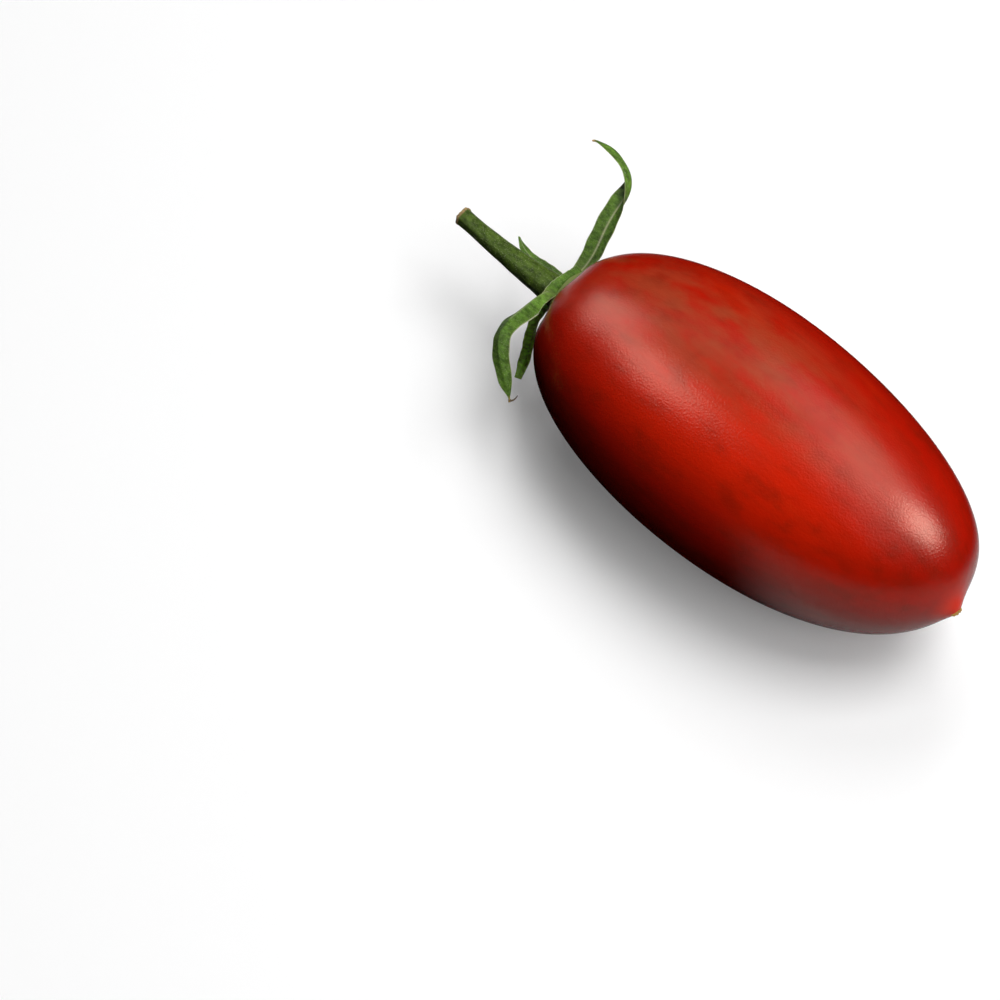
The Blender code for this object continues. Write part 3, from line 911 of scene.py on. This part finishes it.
class TOMATO_OT_hairs(bpy.types.Operator):
    """Makes the short fine hairs on the stem and the sepals"""

    bl_idname = "tomato.hairs"
    bl_label = "Hairs"

    def execute(self, context):
        """Each hair is a three sided spike, its foot in the surface and its tip up to 0.5 mm out."""
        fruit = context.scene.tomato_fruit
        calyx = context.scene.tomato_calyx
        chance = np.random.default_rng(HAIR_SEED)
        on_stem = calyx.hairs // 2
        above = chance.uniform(0.002, calyx.stem_length, on_stem)
        angle = chance.uniform(0.0, 2.0 * np.pi, on_stem)
        feet = [stem_surface(fruit, calyx, above, angle)]
        ways = [np.stack([0.0 * angle, -np.sin(angle), np.cos(angle)], axis=-1)]
        for sepal in SEPALS.values():
            share = np.sort(chance.uniform(0.12, 0.95, (calyx.hairs - on_stem) // len(SEPALS)))
            line, _, across, face = sepal_line(fruit, sepal, share)
            edge = np.sign(chance.uniform(-1.0, 1.0, len(share)))
            swell = ROOT_SHARE + (1.0 - ROOT_SHARE) * smooth_step(share / 0.3)
            width = 0.5 * sepal["width"] * swell * (1.0 - share**2.2) + sepal["tip"]
            out = (0.96 * edge * width)[:, None] * across
            lift = (width * (1.0 - 0.7 * share) * sepal["keel"] * 0.47)[:, None] * face
            feet.append(line + out + lift)
            ways.append(edge[:, None] * across)
        feet = np.concatenate(feet)
        ways = unit(np.concatenate(ways) + chance.normal(0.0, HAIR_LEAN, feet.shape))
        length = chance.uniform(*HAIR_LENGTHS, len(feet))[:, None]
        side = unit(np.cross(ways, np.array(FRONT)))
        other = np.cross(ways, side)
        third = 2.0 * np.pi / 3.0
        corners = [
            feet - HAIR_SUNK * ways + HAIR_RADIUS * (np.cos(k * third) * side + np.sin(k * third) * other)
            for k in range(3)]
        points = np.stack([*corners, feet + length * ways], axis=1).reshape(-1, 3)
        start = 4 * np.arange(len(feet))[:, None]
        sides = ([0, 2, 1], [0, 1, 3], [1, 2, 3], [2, 0, 3])
        triangles = np.concatenate([start + corner for corner in sides])
        mesh = make_mesh("hairs", points, np.zeros((0, 4), int), triangles)
        piece("hairs", mesh, hair_material(calyx), CALYX_NODE)
        return {"FINISHED"}


def aim_at(thing, spot):
    """Turns a light or a camera to face a spot."""
    thing.rotation_euler = (Vector(spot) - thing.location).to_track_quat("-Z", "Y").to_euler()


def heading(azimuth, elevation):
    """The direction from the object toward a viewer at this azimuth and elevation."""
    turn, rise = np.radians(azimuth), np.radians(elevation)
    return Vector((np.sin(turn) * np.cos(rise), -np.cos(turn) * np.cos(rise), np.sin(rise)))


def soft_light(name, azimuth, elevation, width, power, on_matt):
    """A soft square light one metre off that faces the fruit and shows on matt or on glossy surfaces."""
    lamp = bpy.data.lights.new(name, "AREA")
    lamp.shape = "SQUARE"
    lamp.size = width
    lamp.energy = power
    thing = bpy.data.objects.new(name, lamp)
    thing.location = heading(azimuth, elevation)
    thing.visible_diffuse = on_matt
    thing.visible_glossy = not on_matt
    bpy.context.scene.collection.objects.link(thing)
    aim_at(thing, (0.0, 0.0, 0.0))


def floor_material(stage):
    """A pale matt floor: near white to the camera, dark to light that it throws back up, a painted shade.

    In the skin's gloss it is pale beyond the fruit's middle and beside it, a painted reflection, and black
    elsewhere, a painted shade. A weak glow that only the camera sees lifts its shadows, a painted light.
    """
    material, tree, shader, place = new_material("floor")
    ray = add(tree, "ShaderNodeLightPath").outputs
    spread = add(tree, "ShaderNodeSeparateXYZ", {"Vector": place}).outputs
    beyond, beside, within = (
        add(tree, "ShaderNodeMapRange", {"Value": spread[axis], "From Min": start, "From Max": end},
            interpolation_type="SMOOTHSTEP").outputs["Result"]
        for axis, start, end in (GLEAM_BEYOND, GLEAM_BESIDE, GLEAM_WITHIN))
    # Painted reflection and shade: pale bands of floor in the skin's gloss, black elsewhere.
    pale = reckon(tree, "MULTIPLY", reckon(tree, "MAXIMUM", beyond, beside), within)
    gleam = colour_mix(tree, pale, BLACK, (stage.floor_gleam,) * 3)
    # Painted shade: light thrown back up from the floor is kept dark.
    tone = colour_mix(tree, ray["Is Glossy Ray"], (stage.floor_bounce,) * 3, gleam)
    tone = colour_mix(tree, ray["Is Camera Ray"], tone, (stage.floor_tone,) * 3)
    tree.links.new(tone, shader.inputs["Base Color"])
    # Painted light: a glow that only the camera sees.
    lift = colour_mix(tree, ray["Is Camera Ray"], BLACK, (stage.floor_lift,) * 3)
    tree.links.new(lift, shader.inputs["Emission Color"])
    shader.inputs["Emission Strength"].default_value = 1.0
    shader.inputs["Roughness"].default_value = 0.9
    shader.inputs["Specular IOR Level"].default_value = 0.0
    return material


class TOMATO_OT_stage(bpy.types.Operator):
    """Makes the pale floor, the soft lights and the camera"""

    bl_idname = "tomato.stage"
    bl_label = "Stage"

    def execute(self, context):
        stage = context.scene.tomato_stage
        half = stage.floor_size / 2.0
        corners = np.array([[-half, -half, 0.0], [half, -half, 0.0], [half, half, 0.0], [-half, half, 0.0]])
        mesh = make_mesh("floor", corners, np.array([[0, 1, 2, 3]]), np.zeros((0, 3), int))
        floor = bpy.data.objects.new("floor", mesh)
        context.scene.collection.objects.link(floor)
        mesh.materials.append(floor_material(stage))
        for name, (turn, elevation, width, matt, gloss) in LIGHTS.items():
            azimuth = CAMERA_AZIMUTH + turn
            if matt:
                soft_light(f"{name}_matt", azimuth, elevation, width, matt * stage.power, True)
            if gloss:
                soft_light(f"{name}_gloss", azimuth, elevation, width, gloss * stage.power, False)
        # The surround gives no light of its own.
        world = bpy.data.worlds.new("surround")
        world.use_nodes = True
        world.node_tree.nodes["Background"].inputs["Strength"].default_value = 0.0
        context.scene.world = world
        context.scene.view_settings.view_transform = "Standard"
        lens = bpy.data.cameras.new("camera")
        lens.lens = CAMERA_LENS
        camera = bpy.data.objects.new("camera", lens)
        camera.location = Vector(CAMERA_AIM) + heading(CAMERA_AZIMUTH, CAMERA_ELEVATION) * CAMERA_DISTANCE
        context.scene.collection.objects.link(camera)
        aim_at(camera, CAMERA_AIM)
        context.scene.camera = camera
        return {"FINISHED"}


class TOMATO_PT_parts(bpy.types.Panel):
    """Lists the pieces of the tomato"""

    bl_label = "Tomato"
    bl_idname = "TOMATO_PT_parts"
    bl_space_type = "VIEW_3D"
    bl_region_type = "UI"
    bl_category = "Tomato"

    def draw(self, context):
        for operator in OPERATORS:
            self.layout.operator(operator.bl_idname)


SETTINGS = {"tomato_fruit": FruitSettings, "tomato_calyx": CalyxSettings, "tomato_stage": StageSettings}
OPERATORS = (
    TOMATO_OT_fruit, TOMATO_OT_scar, TOMATO_OT_stem, TOMATO_OT_cut, TOMATO_OT_sepals, TOMATO_OT_hook,
    TOMATO_OT_hairs, TOMATO_OT_stage)


def register():
    """Registers the classes and hangs the settings on the scene."""
    for kind in (*SETTINGS.values(), *OPERATORS, TOMATO_PT_parts):
        bpy.utils.register_class(kind)
    for name, kind in SETTINGS.items():
        setattr(bpy.types.Scene, name, bpy.props.PointerProperty(type=kind))


def unregister():
    """Takes the settings and the classes away again."""
    for name in SETTINGS:
        delattr(bpy.types.Scene, name)
    for kind in reversed((*SETTINGS.values(), *OPERATORS, TOMATO_PT_parts)):
        bpy.utils.unregister_class(kind)


def main():
    """Makes every piece in order."""
    register()
    bpy.ops.tomato.fruit()
    bpy.ops.tomato.scar()
    bpy.ops.tomato.stem()
    bpy.ops.tomato.cut()
    bpy.ops.tomato.sepals()
    bpy.ops.tomato.hook()
    bpy.ops.tomato.hairs()
    bpy.ops.tomato.stage()


if __name__ == "__main__":
    main()
